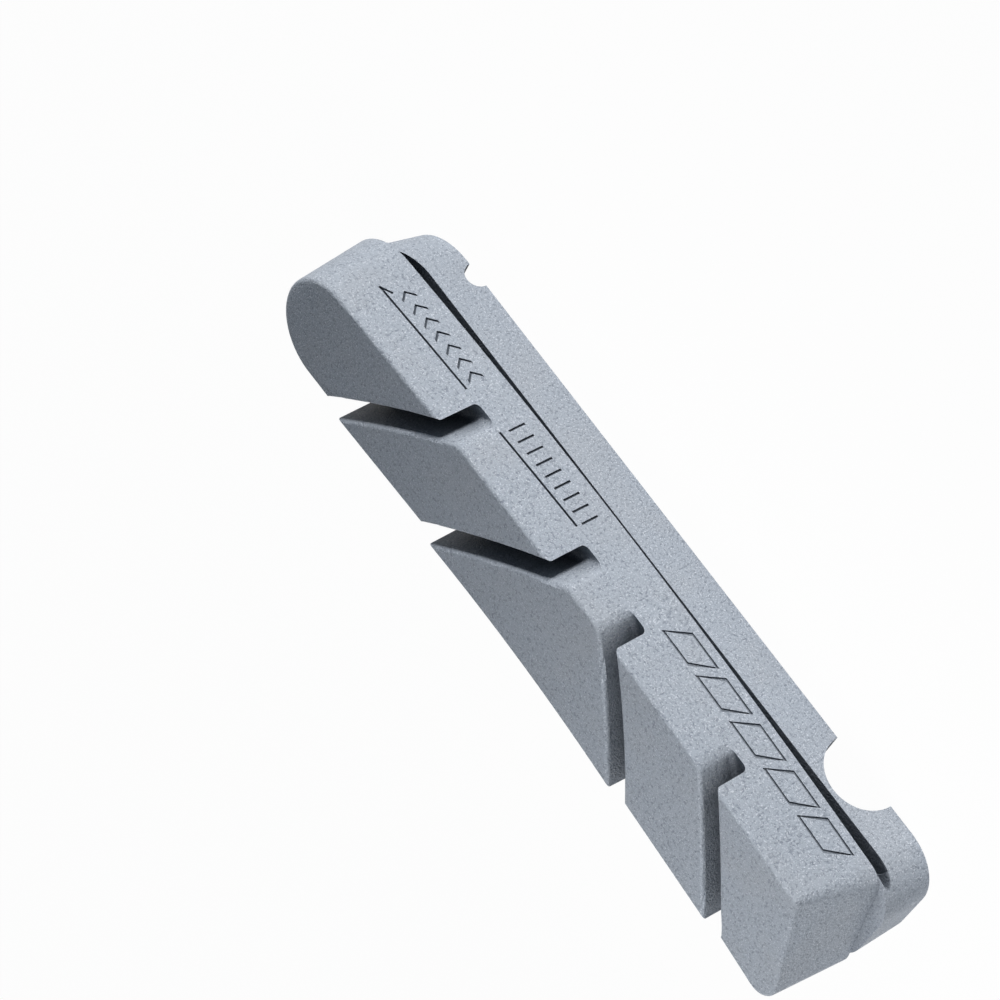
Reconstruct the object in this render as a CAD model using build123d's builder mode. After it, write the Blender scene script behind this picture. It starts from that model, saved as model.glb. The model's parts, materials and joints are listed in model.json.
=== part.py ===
"""Rim brake pad insert: one moulded piece with a flange that slides into a holder.

Frame: +X is the direction of travel (rounded nose), +Y the concave flank, +Z the friction
face.  The back face rests on Z = 0 and the bounding box is centred on X and Y.
Every length is in millimetres.
"""
import os
from math import atan2, cos

from build123d import *

# Overall stack, from the back face up
LENGTH = 55.0
BASE_THICKNESS = 2.95
SLOT_HEIGHT = 0.85
PAD_HEIGHT = 9.8
FLANK_RISE = BASE_THICKNESS + SLOT_HEIGHT

# Flange that sits in the holder
BASE_WIDTH = 8.4
BASE_REAR_X = -27.3
BASE_NOSE_BACK = 26.0
BASE_NOSE_TOP = 27.3
BASE_CORNER_CONVEX = 3.2
BASE_CORNER_CONCAVE = 2.0

# Side slots between the flange and the friction block
SLOT_DEPTH = 2.0
SLOT_REAR_X = -25.2
SLOT_END_RADIUS = 1.8

# Friction block: convex flank, nose and rear end
FLANK_RADIUS = 326.0
FLANK_CREST_X = 0.5
FLANK_CREST_Y = -5.19
NOSE_SETBACK = 0.9
NOSE_REACH_FOOT = 4.0
NOSE_REACH_FACE = 3.65
REAR_CONVEX_X_FOOT = -25.6
REAR_CONVEX_X_FACE = -24.0
REAR_CONCAVE_X_FOOT = -27.5
REAR_CONCAVE_X_FACE = -27.2
REAR_CORNER_FOOT = 1.5
REAR_CORNER_CONVEX_FACE = 0.5
REAR_CORNER_CONCAVE_FACE = 1.3
FACE_EDGE_RADIUS = 0.3

# Concave flank
# The foot is one straight line.  At the face each block steps in at its blunt corners, so
# the edge is saw-toothed: one pair of y values, ahead of and behind each groove.
FOOT_Y_MID = 4.64
FOOT_SLOPE = -0.0226
FACE_NOSE_Y = 3.40
FACE_STEPS = ((3.32, 3.98), (3.37, 4.27), (4.62, 4.10), (4.92, 4.50))
STEP_HALF_GAP = 0.3
MIDDLE_BLOCK_X = 1.5
MIDDLE_BLOCK_Y = 3.95
FACE_REAR_Y = 5.35
FOOT_CROWN = 0.01
NOSE_RETURN = 0.2

# Grooves: x on the convex flank, x on the concave flank, bow, depth at each flank
GROOVE_WIDTH = 1.38
GROOVE_CONVEX_Y = -5.19
GROOVE_CONCAVE_Y = 3.67
GROOVES = (
    (11.37, 19.80, 0.26, 3.15, 4.4),
    (0.20, 9.40, 0.29, 3.00, 4.4),
    (-4.58, -10.68, -0.28, 2.70, 4.2),
    (-14.70, -20.45, -0.11, 2.60, 4.0),
)
OVERRUN = 2.6
GROOVE_FLOOR_RADIUS = 0.4
BLUNT_CORNER_RADIUS = 1.3

RELIEF_REACH = 4.0
RELIEF_DEPTH = 1.5
RELIEF_CLEARANCE = 0.02

# Cross notches in the back face: x, radius
NOTCHES = ((20.65, 0.91), (-19.4, 2.63))


def flank_y(x):
    """Y of the convex flank at x: a shallow arc, close to a parabola at this radius."""
    return FLANK_CREST_Y + (x - FLANK_CREST_X) ** 2 / (2 * FLANK_RADIUS)


def foot_y(x):
    """Y of the straight foot of the concave flank at x."""
    return FOOT_Y_MID + FOOT_SLOPE * x


def groove_x(groove, y):
    """X of a groove's centre line at y."""
    x_convex, x_concave, bow = groove[:3]
    t = (y - GROOVE_CONVEX_Y) / (GROOVE_CONCAVE_Y - GROOVE_CONVEX_Y)
    return x_convex + (x_concave - x_convex) * t + 4 * bow * t * (1 - t)


def flank_arc(rear_x, front_x):
    """Convex flank from the rear corner to the start of the nose."""
    return ThreePointArc(
        (rear_x, flank_y(rear_x)),
        (FLANK_CREST_X, FLANK_CREST_Y),
        (front_x, flank_y(front_x)),
    )


def flange_outline(nose_x):
    """Outline of the flange: straight sides, round nose, two rear corners."""
    half = BASE_WIDTH / 2
    with BuildSketch() as outline:
        with BuildLine():
            near = Line((BASE_REAR_X, -half), (nose_x - half, -half))
            nose = ThreePointArc(near @ 1, (nose_x, 0), (nose_x - half, half))
            far = Line(nose @ 1, (BASE_REAR_X, half))
            Line(far @ 1, near @ 0)
        make_face()
        rear = outline.vertices().group_by(Axis.X)[0].sort_by(Axis.Y)
        fillet(rear[0], radius=BASE_CORNER_CONVEX)
        rear = outline.vertices().filter_by_position(Axis.Y, half, half).sort_by(Axis.X)
        fillet(rear[0], radius=BASE_CORNER_CONCAVE)
    return outline.sketch


def block_outline(face):
    """Outline of the friction block at its face, or at its foot.

    Both outlines have the same edges in the same order, so a ruled loft joins them.
    """
    front_x = LENGTH / 2 - (NOSE_SETBACK if face else 0)
    nose_start = front_x - (NOSE_REACH_FACE if face else NOSE_REACH_FOOT)
    rear_convex_x = REAR_CONVEX_X_FACE if face else REAR_CONVEX_X_FOOT
    rear_concave_x = REAR_CONCAVE_X_FACE if face else REAR_CONCAVE_X_FOOT
    nose_y = FACE_NOSE_Y if face else foot_y(nose_start)
    rear_y = FACE_REAR_Y if face else foot_y(rear_concave_x)
    steps = []
    for groove, step in zip(GROOVES, FACE_STEPS):
        middle_x = groove_x(groove, sum(step) / 2)
        pair = zip((middle_x + STEP_HALF_GAP, middle_x - STEP_HALF_GAP), step)
        steps.append([(x, y if face else foot_y(x)) for x, y in pair])
    middle = (MIDDLE_BLOCK_X, MIDDLE_BLOCK_Y if face else foot_y(MIDDLE_BLOCK_X) + FOOT_CROWN)
    nose_end = (nose_start - NOSE_RETURN, nose_y)
    rear_corner = (rear_concave_x, rear_y)

    flank = flank_arc(rear_convex_x, nose_start)
    edges = [
        flank,
        TangentArc(flank @ 1, nose_end, tangent=flank % 1),
        Line(nose_end, steps[0][0]),
        Line(steps[0][1], steps[1][0]),
        ThreePointArc(steps[1][1], middle, steps[2][0]),
        Line(steps[2][1], steps[3][0]),
        Line(steps[3][1], rear_corner),
        Line(rear_corner, flank @ 0),
    ]
    edges += [Line(ahead, behind) for ahead, behind in steps]
    wire = Wire(edges)
    corner = wire.vertices().sort_by_distance(rear_corner)[0]
    wire = wire.fillet_2d(REAR_CORNER_CONCAVE_FACE if face else REAR_CORNER_FOOT, [corner])
    corner = wire.vertices().sort_by_distance(flank @ 0)[0]
    wire = wire.fillet_2d(REAR_CORNER_CONVEX_FACE if face else REAR_CORNER_FOOT, [corner])
    return wire.moved(Location((0, 0, PAD_HEIGHT if face else FLANK_RISE)))


def groove_cutter(groove):
    """Solid that cuts one groove: arc walls, sloped floor, relief at the blunt corner."""
    x_convex, x_concave, _, depth_convex, depth_concave = groove
    span = GROOVE_CONCAVE_Y - GROOVE_CONVEX_Y
    lean = atan2(x_concave - x_convex, span)
    half = GROOVE_WIDTH / 2 / cos(lean)
    blunt = -1 if lean > 0 else 1
    corner_x = x_convex + blunt * half
    corner_y = flank_y(corner_x) - RELIEF_CLEARANCE
    slope = (corner_x - FLANK_CREST_X) / FLANK_RADIUS
    away_x = corner_x + blunt * RELIEF_REACH
    away_y = corner_y + (away_x - corner_x) * slope
    inner_y = corner_y + (x_convex - corner_x) * slope
    wall_y = (
        GROOVE_CONVEX_Y - OVERRUN,
        (GROOVE_CONVEX_Y + GROOVE_CONCAVE_Y) / 2,
        GROOVE_CONCAVE_Y + OVERRUN,
    )
    with BuildPart() as cutter:
        with BuildSketch() as plan:
            with BuildLine():
                rear, front = [
                    ThreePointArc(*[(groove_x(groove, y) + side, y) for y in wall_y])
                    for side in (-half, half)
                ]
                Line(rear @ 0, front @ 0)
                Line(rear @ 1, front @ 1)
            make_face()
            with BuildLine():
                Polyline(
                    (x_convex, inner_y),
                    (away_x, away_y),
                    (away_x, away_y - RELIEF_DEPTH),
                    (x_convex, inner_y - RELIEF_DEPTH),
                    close=True,
                )
            make_face()
            corner = plan.vertices().sort_by_distance((corner_x, corner_y))[0]
            fillet(corner, radius=BLUNT_CORNER_RADIUS)
        extrude(amount=PAD_HEIGHT + 1)
        floor = Plane(
            origin=(0, GROOVE_CONVEX_Y, PAD_HEIGHT - depth_convex),
            z_dir=(0, (depth_concave - depth_convex) / span, 1),
        )
        split(bisect_by=floor, keep=Keep.TOP)
        fillet(cutter.faces().sort_by(Axis.Z)[0].edges(), radius=GROOVE_FLOOR_RADIUS)
    return cutter.part


# Flange, with the cross notches in its back face
with BuildPart() as flange:
    with BuildSketch():
        add(flange_outline(BASE_NOSE_BACK))
    with BuildSketch(Plane.XY.offset(BASE_THICKNESS)):
        add(flange_outline(BASE_NOSE_TOP))
    loft(ruled=True)
    for notch_x, notch_radius in NOTCHES:
        with Locations((notch_x, 0, 0)):
            Cylinder(
                notch_radius,
                2 * BASE_WIDTH,
                rotation=(90, 0, 0),
                mode=Mode.SUBTRACT,
            )

# Friction block, cut by the four grooves
with BuildPart() as block:
    add(Solid.make_loft([block_outline(face=False), block_outline(face=True)], ruled=True))
    for groove in GROOVES:
        add(groove_cutter(groove), mode=Mode.SUBTRACT)
    fillet(block.edges().group_by(Axis.Z)[-1], radius=FACE_EDGE_RADIUS)

# The whole insert: one solid, joined through the web between the slots
with BuildPart() as pad:
    add(flange.part)
    with BuildSketch(Plane.XY.offset(BASE_THICKNESS)):
        add(flange_outline(BASE_NOSE_TOP))
    extrude(amount=SLOT_HEIGHT)
    add(block.part)
    for side in (-1, 1):
        web_y = side * (BASE_WIDTH / 2 - SLOT_DEPTH)
        outward = Align.MAX if side < 0 else Align.MIN
        with BuildSketch(Plane.XY.offset(BASE_THICKNESS)) as slot:
            with Locations((SLOT_REAR_X, web_y)):
                Rectangle(LENGTH, BASE_WIDTH, align=(Align.MIN, outward))
            inner_corner = slot.vertices().sort_by_distance((SLOT_REAR_X, web_y))[0]
            fillet(inner_corner, radius=SLOT_END_RADIUS)
        extrude(amount=SLOT_HEIGHT, mode=Mode.SUBTRACT)

box = pad.part.bounding_box()
brake_pad = pad.part.moved(Location((-box.center().X, -box.center().Y, -box.min.Z)))
brake_pad.label = "brake_pad"
os.makedirs("parts", exist_ok=True)
export_step(brake_pad, "parts/brake_pad.step")
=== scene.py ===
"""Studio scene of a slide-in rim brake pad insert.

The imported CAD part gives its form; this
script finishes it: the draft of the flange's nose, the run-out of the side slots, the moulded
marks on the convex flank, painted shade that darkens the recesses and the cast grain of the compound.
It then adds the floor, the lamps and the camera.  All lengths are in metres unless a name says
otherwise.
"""

import json
import logging
import math
from dataclasses import dataclass, field
from enum import Enum
from typing import Any, Sequence

import bmesh
import bpy
from mathutils import Matrix, Vector
from mathutils.bvhtree import BVHTree

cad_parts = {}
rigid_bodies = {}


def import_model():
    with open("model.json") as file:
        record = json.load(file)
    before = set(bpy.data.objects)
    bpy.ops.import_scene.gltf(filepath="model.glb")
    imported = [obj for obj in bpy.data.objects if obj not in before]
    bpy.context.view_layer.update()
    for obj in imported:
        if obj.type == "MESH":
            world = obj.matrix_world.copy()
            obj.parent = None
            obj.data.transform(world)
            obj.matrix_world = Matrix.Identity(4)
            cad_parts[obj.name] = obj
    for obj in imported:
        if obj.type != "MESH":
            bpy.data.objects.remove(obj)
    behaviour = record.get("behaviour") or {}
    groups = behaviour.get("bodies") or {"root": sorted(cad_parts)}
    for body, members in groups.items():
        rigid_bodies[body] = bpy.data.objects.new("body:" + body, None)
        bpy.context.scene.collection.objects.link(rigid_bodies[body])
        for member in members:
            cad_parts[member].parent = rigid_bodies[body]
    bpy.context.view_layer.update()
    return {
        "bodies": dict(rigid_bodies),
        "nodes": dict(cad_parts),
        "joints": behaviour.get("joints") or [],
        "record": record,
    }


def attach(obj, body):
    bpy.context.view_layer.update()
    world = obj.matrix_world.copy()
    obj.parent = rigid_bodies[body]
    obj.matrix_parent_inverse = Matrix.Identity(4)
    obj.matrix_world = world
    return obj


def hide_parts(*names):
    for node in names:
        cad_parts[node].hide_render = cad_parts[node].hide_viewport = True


LOG = logging.getLogger("brake_pad_insert")
MM = 0.001
# Name of the attribute that holds how enclosed each face corner is; it drives the painted shade in the
# recesses.
RECESS = "recess"

Point2 = tuple[float, float]
Point3 = tuple[float, float, float]
Colour = tuple[float, float, float, float]


# Shader maths


class Shade:
    """A shader socket that takes part in Python arithmetic."""

    def __init__(self, graph: "Graph", socket: bpy.types.NodeSocket) -> None:
        """Wrap one output socket of a graph."""
        self.graph = graph
        self.socket = socket

    def _math(self, operation: str, *values: Any) -> "Shade":
        """Add one Math node.

        Args:
            operation: The node's operation.
            values: Its operands, sockets or numbers.

        Returns:
            The node's value.
        """
        return self.graph.node("ShaderNodeMath", {"operation": operation}, dict(enumerate(values)))

    def __add__(self, other: Any) -> "Shade":
        """Sum."""
        return self._math("ADD", self, other)

    __radd__ = __add__

    def __sub__(self, other: Any) -> "Shade":
        """Difference."""
        return self._math("SUBTRACT", self, other)

    def __rsub__(self, other: Any) -> "Shade":
        """Reflected difference."""
        return self._math("SUBTRACT", other, self)

    def __mul__(self, other: Any) -> "Shade":
        """Product."""
        return self._math("MULTIPLY", self, other)

    def at_most(self, other: Any) -> "Shade":
        """The smaller of this and another value."""
        return self._math("MINIMUM", self, other)

    def ramp(self, low: float, high: float) -> "Shade":
        """Map a range of this value smoothly to 0..1.

        Args:
            low: Value that becomes 0.
            high: Value that becomes 1.

        Returns:
            The clamped, smoothed value.
        """
        settings = {"interpolation_type": "SMOOTHSTEP"}
        values = {"Value": self, "From Min": low, "From Max": high}
        return self.graph.node("ShaderNodeMapRange", settings, values)


class Graph:
    """Builds one material's node tree."""

    def __init__(self, name: str) -> None:
        """Start an empty material.

        Args:
            name: The material's name.
        """
        self.material = bpy.data.materials.new(name)
        self.material.use_nodes = True
        self.tree = self.material.node_tree
        self.tree.nodes.clear()

    def node(
        self,
        kind: str,
        settings: dict[str, Any] | None = None,
        values: dict[Any, Any] | None = None,
        output: int | str = 0,
    ) -> Shade:
        """Add a node, set it, and link or fill its inputs.

        Args:
            kind: The node's type name.
            settings: Attributes set before anything else.
            values: Input name or index to a socket, number or colour.
            output: The output to hand back.

        Returns:
            The chosen output, or the first one.
        """
        node = self.tree.nodes.new(kind)
        for key, value in (settings or {}).items():
            setattr(node, key, value)
        for key, value in (values or {}).items():
            if isinstance(value, Shade):
                self.tree.links.new(value.socket, node.inputs[key])
            else:
                node.inputs[key].default_value = value
        return Shade(self, node.outputs[output]) if len(node.outputs) else Shade(self, None)

    def blend(self, factor: Any, first: Any, second: Any) -> Shade:
        """Mix two colours.

        Args:
            factor: How much of the second colour.
            first: The first colour.
            second: The second colour.

        Returns:
            The mixed colour.
        """
        settings = {"data_type": "RGBA", "blend_type": "MIX"}
        return self.node("ShaderNodeMix", settings, {0: factor, 6: first, 7: second}, output=2)

    def noise(self, place: Shade, cell_mm: float, detail: float = 2.0, rough: float = 0.5) -> Shade:
        """A noise field whose features are about one cell wide.

        Args:
            place: The coordinates.
            cell_mm: Size of the features in millimetres.
            detail: Octaves of finer noise.
            rough: Strength of the finer octaves.

        Returns:
            The noise value, about 0 to 1.
        """
        values = {"Vector": place, "Scale": 1.0 / (cell_mm * MM), "Detail": detail, "Roughness": rough}
        return self.node("ShaderNodeTexNoise", {"noise_dimensions": "3D"}, values)


# Finishes


class Tone(Enum):
    """Linear colours of the compound."""

    BODY = (0.385, 0.420, 0.470, 1.0)
    FLECK = (0.800, 0.830, 0.880, 1.0)
    PIT = (0.170, 0.192, 0.232, 1.0)
    WARM = (0.430, 0.415, 0.400, 1.0)
    # Near-black painted shade for the recesses, not a colour of the compound itself.
    RECESS = (0.030, 0.040, 0.055, 1.0)


@dataclass(frozen=True)
class CompoundFinish:
    """Satin grey friction compound with the fine grain of a blasted mould, and painted shade in its
    recesses.
    """

    grain_mm: float = 0.21
    fleck_mm: float = 0.10
    cloud_mm: float = 5.0
    pit_range: Point2 = (0.28, 0.52)
    pit_share: float = 0.70
    fleck_range: Point2 = (0.55, 0.72)
    fleck_share: float = 0.55
    cloud_range: Point2 = (0.42, 0.70)
    cloud_share: float = 0.10
    painted_shade_range: Point2 = (0.10, 0.92)
    painted_shade_strength: float = 0.88
    roughness: float = 0.56
    grain_roughness: float = 0.25
    fleck_shine: float = 0.14
    specular: float = 0.22
    grain_height_mm: float = 0.13
    grain_height_share: float = 0.7

    def build(self) -> bpy.types.Material:
        """Build the compound's material.

        Returns:
            The material.
        """
        graph = Graph("friction_compound")
        place = graph.node("ShaderNodeTexCoord", output="Object")
        grain = graph.noise(place, self.grain_mm, detail=2.0, rough=0.6)
        fleck = graph.noise(place, self.fleck_mm, detail=1.0)
        cloud = graph.noise(place, self.cloud_mm, detail=3.0)
        # How enclosed each corner is, read back to paint shade into slots, grooves and marks.
        recess = graph.node("ShaderNodeAttribute", {"attribute_name": RECESS}, output="Fac")

        pits = 1.0 - grain.ramp(*self.pit_range)
        bright = fleck.ramp(*self.fleck_range)
        warm = cloud.ramp(*self.cloud_range)
        painted_shade = recess.ramp(*self.painted_shade_range)
        colour = graph.blend(pits * self.pit_share, Tone.BODY.value, Tone.PIT.value)
        colour = graph.blend(bright * self.fleck_share, colour, Tone.FLECK.value)
        colour = graph.blend(warm * self.cloud_share, colour, Tone.WARM.value)
        # Painted shade: the colour goes towards near black where a corner is enclosed, standing in for
        # the shade that falls in the recesses.
        colour = graph.blend(painted_shade * self.painted_shade_strength, colour, Tone.RECESS.value)

        roughness = self.roughness + (grain - 0.5) * self.grain_roughness - bright * self.fleck_shine
        height = grain * self.grain_height_share + fleck * (1.0 - self.grain_height_share)
        bump = {"Strength": 1.0, "Distance": self.grain_height_mm * MM, "Height": height}
        normal = graph.node("ShaderNodeBump", None, bump)
        values = {
            "Base Color": colour,
            "Roughness": roughness,
            "Metallic": 0.0,
            "Specular IOR Level": self.specular,
            "Normal": normal,
        }
        surface = graph.node("ShaderNodeBsdfPrincipled", None, values)
        graph.node("ShaderNodeOutputMaterial", None, {"Surface": surface})
        return graph.material


@dataclass(frozen=True)
class FloorFinish:
    """Plain white paper that keeps the shadow and goes white to the camera."""

    paper: float = 0.82
    roughness: float = 0.95
    lift: float = 0.975

    def build(self) -> bpy.types.Material:
        """Build the floor's material.

        Returns:
            The material.
        """
        graph = Graph("studio_paper")
        path = graph.tree.nodes.new("ShaderNodeLightPath")
        seen = Shade(graph, path.outputs["Is Camera Ray"])
        seen = seen + Shade(graph, path.outputs["Is Glossy Ray"])
        seen = (seen + Shade(graph, path.outputs["Is Transmission Ray"])).at_most(1.0)
        paper = {
            "Base Color": (self.paper, self.paper, self.paper, 1.0),
            "Roughness": self.roughness,
            "Specular IOR Level": 0.0,
        }
        sheet = graph.node("ShaderNodeBsdfPrincipled", None, paper)
        light = {"Color": (1.0, 1.0, 1.0, 1.0), "Strength": 1.0}
        white = graph.node("ShaderNodeEmission", None, light)
        surface = graph.node("ShaderNodeMixShader", None, {0: seen * self.lift, 1: sheet, 2: white})
        graph.node("ShaderNodeOutputMaterial", None, {"Surface": surface})
        return graph.material


# Meshes


def as_object(name: str, mesh: bmesh.types.BMesh) -> bpy.types.Object:
    """Turn a working mesh into an object of the scene.

    Args:
        name: The object's name.
        mesh: The working mesh, freed here.

    Returns:
        The object.
    """
    data = bpy.data.meshes.new(name)
    mesh.to_mesh(data)
    mesh.free()
    thing = bpy.data.objects.new(name, data)
    bpy.context.collection.objects.link(thing)
    return thing


# Geometry Nodes: one mark repeated along the flank


class MarkRow:
    """A Geometry Nodes tree that repeats a cutter in a straight row."""

    def __init__(self, name: str) -> None:
        """Build the tree once.

        Args:
            name: The tree's name.
        """
        tree = bpy.data.node_groups.new(name, "GeometryNodeTree")
        tree.interface.new_socket("Mark", in_out="INPUT", socket_type="NodeSocketObject")
        tree.interface.new_socket("Count", in_out="INPUT", socket_type="NodeSocketInt")
        tree.interface.new_socket("Pitch", in_out="INPUT", socket_type="NodeSocketFloat")
        tree.interface.new_socket("Finish", in_out="INPUT", socket_type="NodeSocketMaterial")
        tree.interface.new_socket("Geometry", in_out="OUTPUT", socket_type="NodeSocketGeometry")
        nodes, links = tree.nodes, tree.links
        given = nodes.new("NodeGroupInput")
        line = nodes.new("GeometryNodeMeshLine")
        step = nodes.new("ShaderNodeCombineXYZ")
        info = nodes.new("GeometryNodeObjectInfo")
        place = nodes.new("GeometryNodeInstanceOnPoints")
        real = nodes.new("GeometryNodeRealizeInstances")
        paint = nodes.new("GeometryNodeSetMaterial")
        result = nodes.new("NodeGroupOutput")
        links.new(given.outputs["Count"], line.inputs["Count"])
        links.new(given.outputs["Pitch"], step.inputs["X"])
        links.new(step.outputs["Vector"], line.inputs["Offset"])
        links.new(given.outputs["Mark"], info.inputs["Object"])
        links.new(line.outputs["Mesh"], place.inputs["Points"])
        links.new(info.outputs["Geometry"], place.inputs["Instance"])
        links.new(place.outputs["Instances"], real.inputs["Geometry"])
        links.new(real.outputs["Geometry"], paint.inputs["Geometry"])
        links.new(given.outputs["Finish"], paint.inputs["Material"])
        links.new(paint.outputs["Geometry"], result.inputs["Geometry"])
        self.tree = tree

    def repeat(
        self, mark: bpy.types.Object, count: int, pitch: float, finish: bpy.types.Material
    ) -> bpy.types.Mesh:
        """Repeat one mark along a row.

        Args:
            mark: The mark's object, at the row's first place.
            count: Number of marks.
            pitch: Step along X.
            finish: The marks' material.

        Returns:
            The whole row as a plain mesh.
        """
        carrier = bpy.data.objects.new(mark.name + "_row", bpy.data.meshes.new("row"))
        bpy.context.collection.objects.link(carrier)
        modifier = carrier.modifiers.new("row", "NODES")
        modifier.node_group = self.tree
        given = {"Mark": mark, "Count": count, "Pitch": pitch, "Finish": finish}
        for item in self.tree.interface.items_tree:
            if item.item_type == "SOCKET" and item.name in given:
                modifier[item.identifier] = given[item.name]
        graph = bpy.context.evaluated_depsgraph_get()
        mesh = bpy.data.meshes.new_from_object(carrier.evaluated_get(graph))
        bpy.data.objects.remove(carrier)
        return mesh


# Marks moulded into the convex flank


@dataclass(frozen=True)
class Flank:
    """The convex flank of the friction block, a shallow arc seen from above."""

    radius_mm: float = 326.0
    crest_x_mm: float = 0.48
    crest_y_mm: float = -5.201

    def y_mm(self, x_mm: float) -> float:
        """Y of the flank at x, in millimetres."""
        return self.crest_y_mm + (x_mm - self.crest_x_mm) ** 2 / (2.0 * self.radius_mm)


@dataclass
class FlankMarks:
    """Cutters for the flank's marks and for the run-out of the slots' rear ends."""

    flank: Flank = field(default_factory=Flank)
    line_width_mm: float = 0.16
    line_depth_mm: float = 0.22
    sign_depth_mm: float = 0.15
    slash_depth_mm: float = 0.11
    stand_off_mm: float = 0.4
    run_mm: float = 1.5
    band_reach: Point2 = (1.25, 1.0)
    arrow_from_mm: Point2 = (13.7, 6.62)
    arrow_tip_mm: Point2 = (22.45, 6.78)
    barb_mm: Point2 = (21.75, 6.36)
    wear_from_mm: Point2 = (2.44, 6.50)
    wear_to_mm: Point2 = (10.0, 6.70)
    chevron_first_mm: Point2 = (14.35, 5.55)
    chevron_size_mm: Point2 = (0.55, 1.15)
    chevron_pitch_mm: float = 1.15
    chevron_count: int = 7
    chevron_band: float = 1.3
    tick_first_mm: Point2 = (2.35, 5.45)
    tick_height_mm: float = 1.15
    tick_pitch_mm: float = 0.94
    tick_count: int = 9
    slash_first_mm: Point2 = (-21.6, 5.30)
    slash_size_mm: Point2 = (2.75, 1.75)
    slash_lean_mm: float = 1.1
    slash_pitch_mm: float = 3.45
    slash_count: int = 5
    slot_end_mm: Point3 = (-24.9, 4.3, 3.372)
    slot_end_radii_mm: Point3 = (1.7, 1.5, 0.42)
    slot_end_segments: tuple[int, int] = (32, 16)

    def prism(self, name: str, outline: Sequence[Point2], depth_mm: float) -> bpy.types.Object:
        """Build a cutter from an outline on the flank.

        Args:
            name: The object's name.
            outline: Corners (x, z) in millimetres, in order round the shape.
            depth_mm: How far it reaches into the flank.

        Returns:
            The cutter's object.
        """
        mesh = bmesh.new()
        outer, inner = [], []
        for x, z in outline:
            skin = self.flank.y_mm(x)
            outer.append(mesh.verts.new(Vector((x, skin - self.stand_off_mm, z)) * MM))
            inner.append(mesh.verts.new(Vector((x, skin + depth_mm, z)) * MM))
        mesh.faces.new(outer)
        mesh.faces.new(list(reversed(inner)))
        for i in range(len(outline)):
            j = (i + 1) % len(outline)
            mesh.faces.new((outer[j], outer[i], inner[i], inner[j]))
        bmesh.ops.recalc_face_normals(mesh, faces=mesh.faces)
        return as_object(name, mesh)

    def band(self, name: str, corners: Sequence[Point2], depth_mm: float) -> bpy.types.Object:
        """Build a cutter for a thin closed line round a four-sided shape.

        Args:
            name: The object's name.
            corners: The shape's corners (x, z) in millimetres.
            depth_mm: How deep the line cuts.

        Returns:
            The cutter's object.
        """
        middle = sum((Vector(corner) for corner in corners), Vector((0.0, 0.0))) / len(corners)
        inside = [self.toward(Vector(corner), middle) for corner in corners]
        mesh = bmesh.new()
        rings = []
        for outline in (corners, inside):
            for depth in (-self.stand_off_mm, depth_mm):
                ring = [Vector((x, self.flank.y_mm(x) + depth, z)) * MM for x, z in outline]
                rings.append([mesh.verts.new(place) for place in ring])
        for first, second in ((0, 1), (1, 3), (3, 2), (2, 0)):
            for i in range(len(corners)):
                j = (i + 1) % len(corners)
                near, far = rings[first], rings[second]
                mesh.faces.new((near[i], near[j], far[j], far[i]))
        bmesh.ops.recalc_face_normals(mesh, faces=mesh.faces)
        return as_object(name, mesh)

    def toward(self, corner: Vector, middle: Vector) -> Point2:
        """Move a corner towards the middle by about one line width on each axis."""
        step = corner - middle
        across, up = (reach * self.line_width_mm for reach in self.band_reach)
        return corner.x - math.copysign(across, step.x), corner.y - math.copysign(up, step.y)

    def stroke(self, name: str, points: Sequence[Point2], depth_mm: float) -> list[bpy.types.Object]:
        """Build cutters for a thin line through some points.

        Args:
            name: The objects' name.
            points: The line's points (x, z) in millimetres.
            depth_mm: How deep it cuts.

        Returns:
            One cutter for each straight run, cut up so that it follows the flank.
        """
        cutters = []
        for start, end in zip(points, points[1:]):
            a, b = Vector(start), Vector(end)
            along = (b - a).normalized()
            across = Vector((-along.y, along.x)) * self.line_width_mm / 2
            a, b = a - along * self.line_width_mm / 2, b + along * self.line_width_mm / 2
            steps = max(1, round((b - a).length / self.run_mm))
            low = [tuple(a.lerp(b, i / steps) - across) for i in range(steps + 1)]
            high = [tuple(a.lerp(b, i / steps) + across) for i in range(steps, -1, -1)]
            cutters.append(self.prism(name, low + high, depth_mm))
        return cutters

    def row(
        self, name: str, mark: bpy.types.Object, pitch: float, count: int, finish: bpy.types.Material
    ) -> bpy.types.Object:
        """Repeat a mark with Geometry Nodes and lay the row on the flank's curve.

        Args:
            name: The row's name.
            mark: The first mark.
            pitch: Step along X, in millimetres.
            count: Number of marks.
            finish: The marks' material.

        Returns:
            The row as one object.
        """
        mesh = MarkRow(name + "_tree").repeat(mark, count, pitch * MM, finish)
        bpy.data.objects.remove(mark)
        each = len(mesh.vertices) // count
        for vertex in mesh.vertices:
            x = vertex.co.x / MM
            home = x - vertex.index // each * pitch
            vertex.co.y += (self.flank.y_mm(x) - self.flank.y_mm(home)) * MM
        thing = bpy.data.objects.new(name, mesh)
        bpy.context.collection.objects.link(thing)
        return thing

    def lines(self) -> list[bpy.types.Object]:
        """Build the arrow and the wear line."""
        depth = self.line_depth_mm
        found = self.stroke("arrow_shaft", [self.arrow_from_mm, self.arrow_tip_mm], depth)
        found += self.stroke("arrow_barb", [self.barb_mm, self.arrow_tip_mm], depth)
        found += self.stroke("wear_line", [self.wear_from_mm, self.wear_to_mm], depth)
        return found

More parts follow.
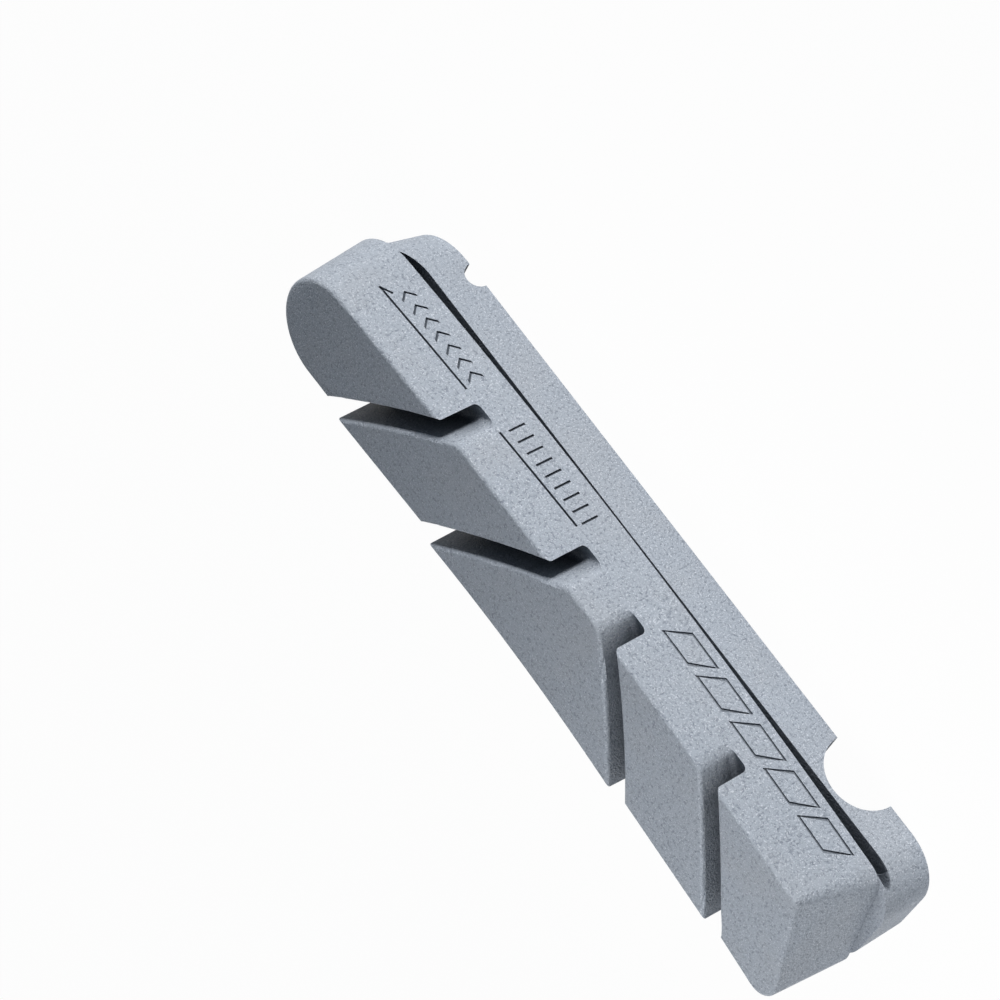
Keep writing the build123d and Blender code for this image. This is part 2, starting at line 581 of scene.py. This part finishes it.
    def chevrons(self, finish: bpy.types.Material) -> bpy.types.Object:
        """Build the row of chevrons that point in the direction of travel.

        Args:
            finish: The material that the cut walls take.

        Returns:
            The row's cutter.
        """
        x, z = self.chevron_first_mm
        wide, tall = self.chevron_size_mm
        back = self.line_width_mm * self.chevron_band
        outline = [
            (x - wide / 2, z - tall / 2),
            (x + wide / 2, z),
            (x - wide / 2, z + tall / 2),
            (x - wide / 2 - back, z + tall / 2),
            (x + wide / 2 - back, z),
            (x - wide / 2 - back, z - tall / 2),
        ]
        mark = self.prism("chevron", outline, self.sign_depth_mm)
        return self.row("chevrons", mark, self.chevron_pitch_mm, self.chevron_count, finish)

    def ticks(self, finish: bpy.types.Material) -> bpy.types.Object:
        """Build the tick scale beside the wear line.

        Args:
            finish: The material that the cut walls take.

        Returns:
            The row's cutter.
        """
        x, z = self.tick_first_mm
        half = self.tick_height_mm / 2
        mark = self.stroke("tick", [(x, z - half), (x, z + half)], self.sign_depth_mm)[0]
        return self.row("ticks", mark, self.tick_pitch_mm, self.tick_count, finish)

    def slashes(self, finish: bpy.types.Material) -> bpy.types.Object:
        """Build the row of slanted frames on the rear half of the flank.

        Args:
            finish: The material that the cut walls take.

        Returns:
            The row's cutter.
        """
        x, z = self.slash_first_mm
        wide, tall = self.slash_size_mm
        lean = self.slash_lean_mm
        corners = [
            (x - wide / 2 - lean / 2, z - tall / 2),
            (x + wide / 2 - lean / 2, z - tall / 2),
            (x + wide / 2 + lean / 2, z + tall / 2),
            (x - wide / 2 + lean / 2, z + tall / 2),
        ]
        mark = self.band("slash", corners, self.slash_depth_mm)
        return self.row("slashes", mark, self.slash_pitch_mm, self.slash_count, finish)

    def slot_end(self, side: float) -> bpy.types.Object:
        """Build the lens-shaped cutter that lets one slot run out softly at the rear.

        Args:
            side: -1.0 for the convex flank, 1.0 for the concave one.

        Returns:
            The cutter's object.
        """
        mesh = bmesh.new()
        around, along = self.slot_end_segments
        bmesh.ops.create_uvsphere(mesh, u_segments=around, v_segments=along, radius=1.0)
        x, y, z = self.slot_end_mm
        for vertex in mesh.verts:
            parts = zip((x, side * y, z), self.slot_end_radii_mm, vertex.co)
            vertex.co = Vector(centre + radius * v for centre, radius, v in parts) * MM
        return as_object("slot_end", mesh)

    def cutters(self, finish: bpy.types.Material) -> list[bpy.types.Object]:
        """Build every cutter.

        Args:
            finish: The material that the cut walls take.

        Returns:
            The cutters, ready for the boolean.
        """
        found = self.lines() + [self.chevrons(finish), self.ticks(finish)]
        found += [self.slot_end(-1.0), self.slot_end(1.0)]
        return found + [self.slashes(finish)]


# Painted shade: recesses darkened by how enclosed they are


@dataclass(frozen=True)
class PaintedRecessShade:
    """Measures how enclosed each part of a piece is, for the painted shade that darkens its recesses.
    """

    rays: int = 32
    reach_mm: float = 3.2
    lift_mm: float = 0.012
    inset: float = 0.06

    def spread(self) -> list[Vector]:
        """Directions spread evenly round +Z, denser towards it."""
        turn = math.pi * (3.0 - math.sqrt(5.0))
        found = []
        for i in range(self.rays):
            out = math.sqrt((i + 0.5) / self.rays)
            rise = math.sqrt(1.0 - out * out)
            found.append(Vector((out * math.cos(turn * i), out * math.sin(turn * i), rise)))
        return found

    def measure(self, piece: bpy.types.Object) -> None:
        """Store the share of blocked directions at every face corner.

        Args:
            piece: The piece, with its place in its mesh.
        """
        mesh = piece.data
        solid = bmesh.new()
        solid.from_mesh(mesh)
        tree = BVHTree.FromBMesh(solid)
        layer = mesh.attributes.new(RECESS, "FLOAT", "CORNER")
        spread = self.spread()
        for face in mesh.polygons:
            turn = face.normal.to_track_quat("Z", "Y").to_matrix()
            ways = [turn @ way for way in spread]
            for corner in face.loop_indices:
                place = mesh.vertices[mesh.loops[corner].vertex_index].co
                place = place.lerp(face.center, self.inset) + face.normal * self.lift_mm * MM
                hits = sum(tree.ray_cast(place, way, self.reach_mm * MM)[0] is not None for way in ways)
                layer.data[corner].value = hits / self.rays
        solid.free()


# Nose of the flange


@dataclass(frozen=True)
class FlangeNose:
    """Gives the flange's nose its slight draft and closes the side slots ahead of it."""

    from_x_mm: float = 22.0
    full_x_mm: float = 26.0
    back_shift_mm: float = 0.25
    top_shift_mm: float = -0.40
    flange_top_mm: float = 2.95
    slot_top_mm: float = 3.80
    cuts_x_mm: tuple[float, ...] = (22.0, 22.6, 23.2, 23.8, 24.4, 25.0)
    slot_closes_x_mm: Point2 = (22.2, 25.4)
    slot_curve: float = 1.35
    slot_rise_mm: float = 0.80
    web_half_mm: float = 2.95
    web_from_x_mm: float = 18.0
    web_centre_x_mm: float = 22.62
    web_radius_mm: float = 4.15
    web_overlap_mm: float = 0.05
    web_points: int = 13
    weld_mm: float = 0.0001
    touch_mm: float = 0.01

    def fit(self, mesh: bmesh.types.BMesh) -> None:
        """Move the nose of the flange along X, and let the slots run out before its tip.

        Args:
            mesh: The insert's merged mesh.
        """
        # Rings of edges across the nose let its long faces bend
        weld = self.weld_mm * MM
        for x in self.cuts_x_mm:
            everything = list(mesh.verts) + list(mesh.edges) + list(mesh.faces)
            place, along = Vector((x, 0.0, 0.0)) * MM, Vector((1.0, 0.0, 0.0))
            bmesh.ops.bisect_plane(mesh, geom=everything, dist=weld, plane_co=place, plane_no=along)
        # The web's upper corners stand right above its lower ones, the block's foot corners don't
        edge = {
            (round(v.co.x / MM, 2), round(v.co.y / MM, 2))
            for v in mesh.verts
            if abs(v.co.z / MM - self.flange_top_mm) < self.touch_mm
        }
        for vertex in mesh.verts:
            x, y, z = (c / MM for c in vertex.co)
            above = z > self.flange_top_mm + self.touch_mm
            below_block = z < self.slot_top_mm + self.touch_mm
            web = above and below_block and (round(x, 2), round(y, 2)) in edge
            if x <= self.from_x_mm or (above and not web):
                continue
            up = min(1.0, z / self.flange_top_mm)
            shift = self.back_shift_mm + (self.top_shift_mm - self.back_shift_mm) * up
            weight = min(1.0, (x - self.from_x_mm) / (self.full_x_mm - self.from_x_mm))
            vertex.co.x += shift * weight * MM
            if abs(z - self.flange_top_mm) < self.touch_mm:
                near, far = self.slot_closes_x_mm
                share = min(1.0, max(0.0, (x - near) / (far - near)))
                vertex.co.z += self.slot_rise_mm * share**self.slot_curve * MM

    def web(self, finish: bpy.types.Material) -> bpy.types.Object:
        """Build the wider web that closes the slots at the nose.

        Args:
            finish: The compound's material.

        Returns:
            The web's object.
        """
        reach = math.asin(self.web_half_mm / self.web_radius_mm)
        outline = [(self.web_from_x_mm, -self.web_half_mm)]
        for i in range(self.web_points):
            turn = -reach + 2.0 * reach * i / (self.web_points - 1)
            x = self.web_centre_x_mm + self.web_radius_mm * math.cos(turn)
            outline.append((x, self.web_radius_mm * math.sin(turn)))
        outline.append((self.web_from_x_mm, self.web_half_mm))
        low = self.flange_top_mm - self.web_overlap_mm
        high = self.slot_top_mm + self.web_overlap_mm
        mesh = bmesh.new()
        bottom = [mesh.verts.new(Vector((x, y, low)) * MM) for x, y in outline]
        top = [mesh.verts.new(Vector((x, y, high)) * MM) for x, y in outline]
        mesh.faces.new(list(reversed(bottom)))
        mesh.faces.new(top)
        for i in range(len(outline)):
            j = (i + 1) % len(outline)
            mesh.faces.new((bottom[i], bottom[j], top[j], top[i]))
        bmesh.ops.recalc_face_normals(mesh, faces=mesh.faces)
        web = as_object("nose_web", mesh)
        web.data.materials.append(finish)
        return web


# The insert


@dataclass
class MouldedInsert:
    """The whole pad insert: flange, web and grooved friction block in one moulding."""

    node: str = "brake_pad"
    body: str = "root"
    slot: str = "compound"
    merge_mm: float = 0.002
    crease_deg: float = 32.0
    normal_weight: int = 60
    finish: CompoundFinish = field(default_factory=CompoundFinish)
    marks: FlankMarks = field(default_factory=FlankMarks)
    painted_shade: PaintedRecessShade = field(default_factory=PaintedRecessShade)
    nose: FlangeNose = field(default_factory=FlangeNose)

    def skin(self, source: bpy.types.Object) -> bpy.types.Object:
        """Copy the CAD node and merge its loose triangles.

        Args:
            source: The CAD node's object.

        Returns:
            The copy, with its place in its mesh.
        """
        data = source.data.copy()
        data.transform(source.matrix_world)
        for stale in ("custom_normal", "sharp_edge", "sharp_face"):
            if stale in data.attributes:
                data.attributes.remove(data.attributes[stale])
        mesh = bmesh.new()
        mesh.from_mesh(data)
        bmesh.ops.remove_doubles(mesh, verts=mesh.verts, dist=self.merge_mm * MM)
        bmesh.ops.dissolve_degenerate(mesh, edges=mesh.edges, dist=self.merge_mm * MM)
        self.nose.fit(mesh)
        bmesh.ops.triangulate(mesh, faces=mesh.faces)
        mesh.to_mesh(data)
        mesh.free()
        copy = bpy.data.objects.new("moulded_insert", data)
        bpy.context.collection.objects.link(copy)
        return copy

    def combine(
        self, piece: bpy.types.Object, tools: Sequence[bpy.types.Object], operation: str
    ) -> None:
        """Cut solids out of the piece, or add them to it.

        Args:
            piece: The insert.
            tools: The solids, removed afterwards.
            operation: "DIFFERENCE" or "UNION".
        """
        for tool in tools:
            modifier = piece.modifiers.new(tool.name, "BOOLEAN")
            modifier.operation = operation
            modifier.solver = "EXACT"
            modifier.object = tool
        self.settle(piece)
        for tool in tools:
            bpy.data.objects.remove(tool)

    @staticmethod
    def settle(piece: bpy.types.Object) -> None:
        """Turn a piece's modifiers into plain mesh.

        Args:
            piece: The piece.
        """
        graph = bpy.context.evaluated_depsgraph_get()
        mesh = bpy.data.meshes.new_from_object(piece.evaluated_get(graph))
        piece.modifiers.clear()
        piece.data = mesh

    def smooth(self, piece: bpy.types.Object) -> None:
        """Shade the mesh smooth between its creases.

        Args:
            piece: The insert.
        """
        piece.data.shade_smooth()
        piece.data.set_sharp_from_angle(angle=math.radians(self.crease_deg))
        modifier = piece.modifiers.new("even_normals", "WEIGHTED_NORMAL")
        modifier.keep_sharp = True
        modifier.weight = self.normal_weight
        self.settle(piece)

    def build(self, frame: dict[str, Any]) -> bpy.types.Object:
        """Build and dress the insert in place of its CAD node.

        Args:
            frame: What the frame's load returned.

        Returns:
            The finished piece.
        """
        piece = self.skin(frame["nodes"][self.node])
        material = self.finish.build()
        piece.data.materials.clear()
        piece.data.materials.append(material)
        self.combine(piece, [self.nose.web(material)], "UNION")
        self.combine(piece, self.marks.cutters(material), "DIFFERENCE")
        # Store how enclosed each corner is, for the painted shade in the recesses.
        self.painted_shade.measure(piece)
        self.smooth(piece)
        for face in piece.data.polygons:
            face.material_index = 0
        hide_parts(self.node)
        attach(piece, self.body)
        data = piece.data
        LOG.info("%s: %d vertices, %d faces", piece.name, len(data.vertices), len(data.polygons))
        return piece


# Studio


@dataclass(frozen=True)
class Lamp:
    """One soft rectangular lamp."""

    name: str
    place_mm: Point3
    aim_mm: Point3
    size_mm: float
    watts: float
    spread_deg: float = 180.0

    def build(self) -> bpy.types.Object:
        """Put the lamp in the scene.

        Returns:
            The lamp's object.
        """
        data = bpy.data.lights.new(self.name, "AREA")
        data.shape = "SQUARE"
        data.size = self.size_mm * MM
        data.energy = self.watts
        data.spread = math.radians(self.spread_deg)
        lamp = bpy.data.objects.new(self.name, data)
        place, aim = Vector(self.place_mm) * MM, Vector(self.aim_mm) * MM
        lamp.location = place
        lamp.rotation_euler = (aim - place).to_track_quat("-Z", "Y").to_euler()
        bpy.context.collection.objects.link(lamp)
        return lamp


@dataclass
class Studio:
    """Floor, world and lamps."""

    floor_half_mm: float = 3000.0
    sky: float = 0.07
    sky_tint: Colour = (0.58, 0.86, 1.22, 1.0)
    lamps: tuple[Lamp, ...] = (
        Lamp("key_lamp", (285.0, -530.0, 34.0), (0.0, 0.0, 5.0), 160.0, 5.2),
        Lamp("back_lamp", (120.0, 570.0, 14.0), (0.0, 0.0, 5.0), 160.0, 0.2),
        Lamp("rear_lamp", (-78.0, 12.0, 88.0), (-20.0, 0.0, 8.0), 36.0, 0.0053, 42.0),
    )

    def floor(self) -> bpy.types.Object:
        """Lay the paper that the insert rests on.

        Returns:
            The floor's object.
        """
        half = self.floor_half_mm * MM
        data = bpy.data.meshes.new("floor")
        corners = [(-half, -half, 0.0), (half, -half, 0.0), (half, half, 0.0), (-half, half, 0.0)]
        data.from_pydata(corners, [], [(0, 1, 2, 3)])
        data.materials.append(FloorFinish().build())
        floor = bpy.data.objects.new("floor", data)
        bpy.context.collection.objects.link(floor)
        return floor

    def world(self) -> None:
        """Fill the room with even light, white where the camera sees it."""
        world = bpy.data.worlds.new("studio_room")
        bpy.context.scene.world = world
        world.use_nodes = True
        tree = world.node_tree
        tree.nodes.clear()
        path = tree.nodes.new("ShaderNodeLightPath")
        room = tree.nodes.new("ShaderNodeBackground")
        room.inputs["Color"].default_value = self.sky_tint
        room.inputs["Strength"].default_value = self.sky
        white = tree.nodes.new("ShaderNodeBackground")
        white.inputs["Color"].default_value = (1.0, 1.0, 1.0, 1.0)
        white.inputs["Strength"].default_value = 1.0
        seen = path.outputs["Is Camera Ray"]
        for ray in ("Is Glossy Ray", "Is Transmission Ray"):
            either = tree.nodes.new("ShaderNodeMath")
            either.operation = "MAXIMUM"
            tree.links.new(seen, either.inputs[0])
            tree.links.new(path.outputs[ray], either.inputs[1])
            seen = either.outputs[0]
        mix = tree.nodes.new("ShaderNodeMixShader")
        out = tree.nodes.new("ShaderNodeOutputWorld")
        tree.links.new(seen, mix.inputs[0])
        tree.links.new(room.outputs[0], mix.inputs[1])
        tree.links.new(white.outputs[0], mix.inputs[2])
        tree.links.new(mix.outputs[0], out.inputs["Surface"])

    def build(self) -> None:
        """Build the floor, the world and the lamps."""
        self.floor()
        self.world()
        for lamp in self.lamps:
            lamp.build()
            LOG.info("%s: %.2f W", lamp.name, lamp.watts)


@dataclass(frozen=True)
class CameraRig:
    """The photograph's point of view."""

    place_mm: Point3 = (-53.28, -178.55, 129.50)
    aim_mm: Point3 = (8.545, 1.955, 4.90)
    roll_deg: float = -116.684
    lens_mm: float = 130.137
    sensor_mm: float = 36.0
    clip_mm: Point2 = (5.0, 20000.0)

    def build(self) -> bpy.types.Object:
        """Set up the camera.

        Returns:
            The camera's object.
        """
        data = bpy.data.cameras.new("view_camera")
        data.lens = self.lens_mm
        data.sensor_width = self.sensor_mm
        data.clip_start, data.clip_end = (distance * MM for distance in self.clip_mm)
        camera = bpy.data.objects.new("view_camera", data)
        place, aim = Vector(self.place_mm) * MM, Vector(self.aim_mm) * MM
        turn = (aim - place).to_track_quat("-Z", "Y").to_matrix()
        roll = Matrix.Rotation(math.radians(self.roll_deg), 3, "Z")
        camera.rotation_euler = (turn @ roll).to_euler()
        camera.location = place
        bpy.context.collection.objects.link(camera)
        bpy.context.scene.camera = camera
        return camera


def main() -> None:
    """Build the scene."""
    logging.basicConfig(level=logging.INFO, format="%(name)s: %(message)s")
    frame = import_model()
    MouldedInsert().build(frame)
    Studio().build()
    CameraRig().build()
    bpy.context.scene.view_settings.view_transform = "Standard"
    bpy.context.view_layer.update()


if __name__ == "__main__":
    main()
